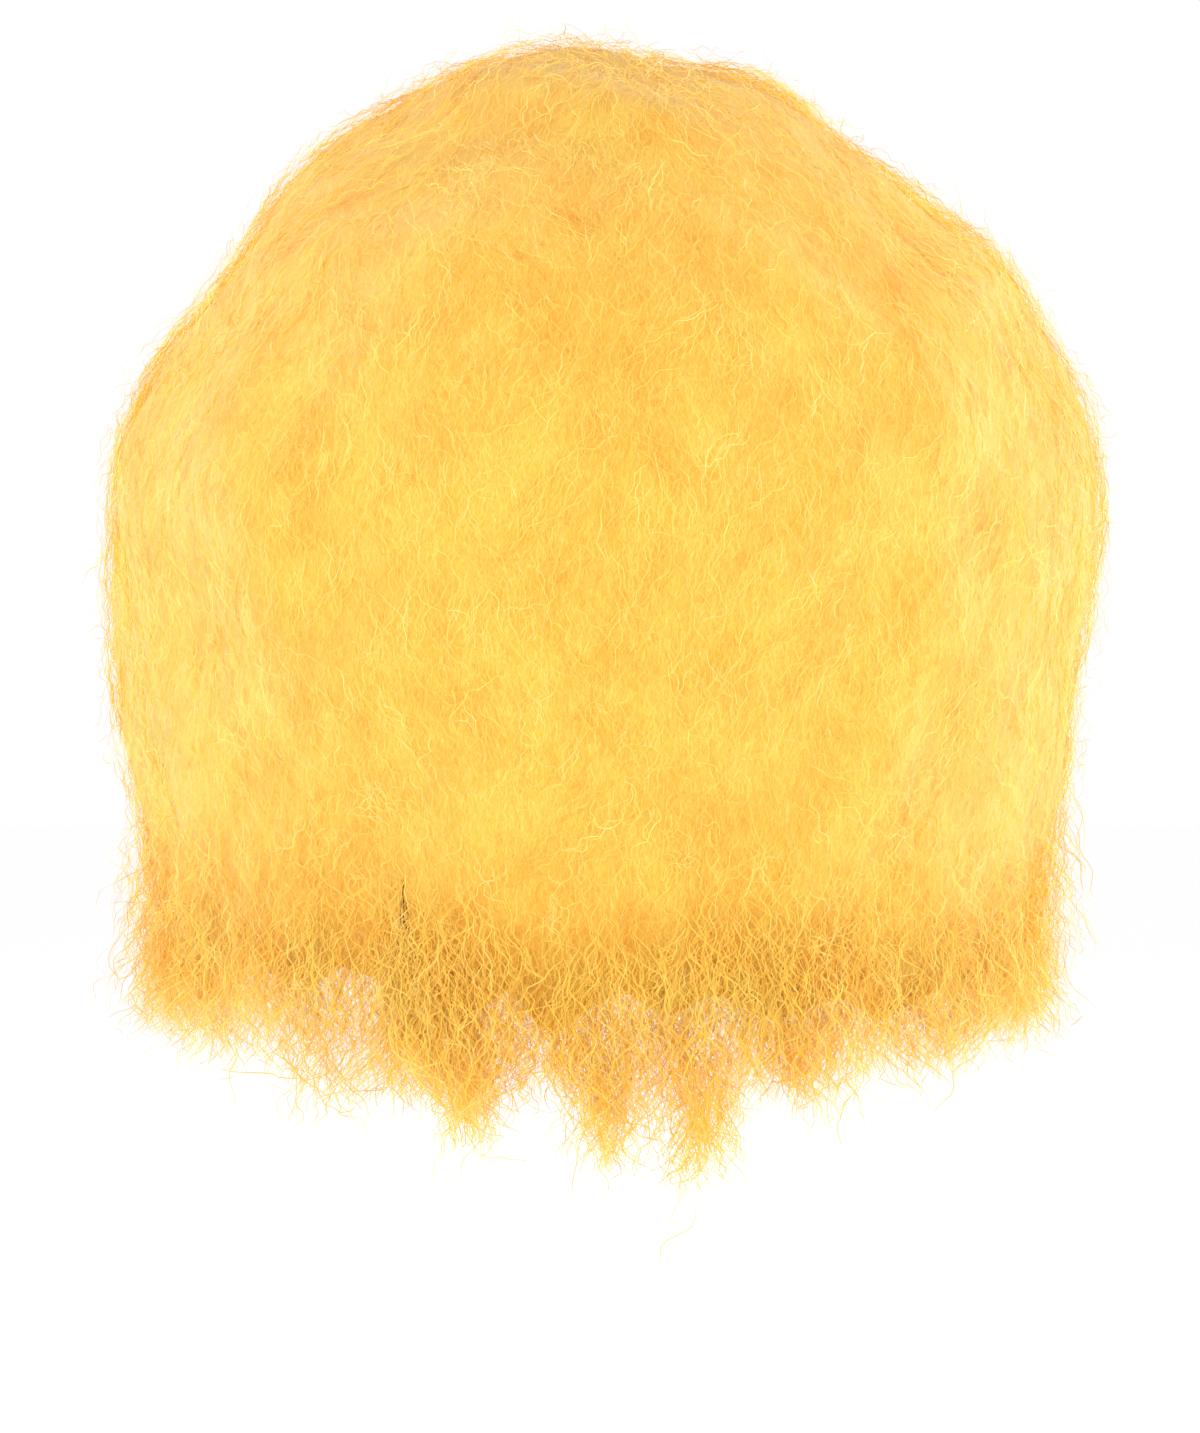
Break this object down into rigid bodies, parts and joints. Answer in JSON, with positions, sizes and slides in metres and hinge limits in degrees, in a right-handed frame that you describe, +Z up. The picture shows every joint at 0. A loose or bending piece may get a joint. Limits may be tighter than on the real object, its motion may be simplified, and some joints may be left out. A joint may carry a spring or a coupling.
{
  "type": "afro wig",
  "caption": "Jumbo round afro wig of crimped golden-yellow fibre on a net cap with an elastic rim, an open face and a ragged hem of hanging locks.",
  "frame": {"origin": "the spot inside the crown of the net cap that rests on the top of the head", "axes": "+Z up, the face opening looks along -Y, the back of the head along +Y, the wearer's left is +X"},
  "size_m": [0.4726, 0.4329, 0.5341],
  "materials": {
    "fibre": "matte",
    "net": "matte",
    "elastic": "matte"
  },
  "bodies": {
    "root": {"wig_cap": "net", "rim_band": "elastic", "hair_crown": "fibre", "hair_upper": "fibre", "hair_middle": "fibre", "hair_lower": "fibre", "hair_nape": "fibre"}
  },
  "joints": []
}
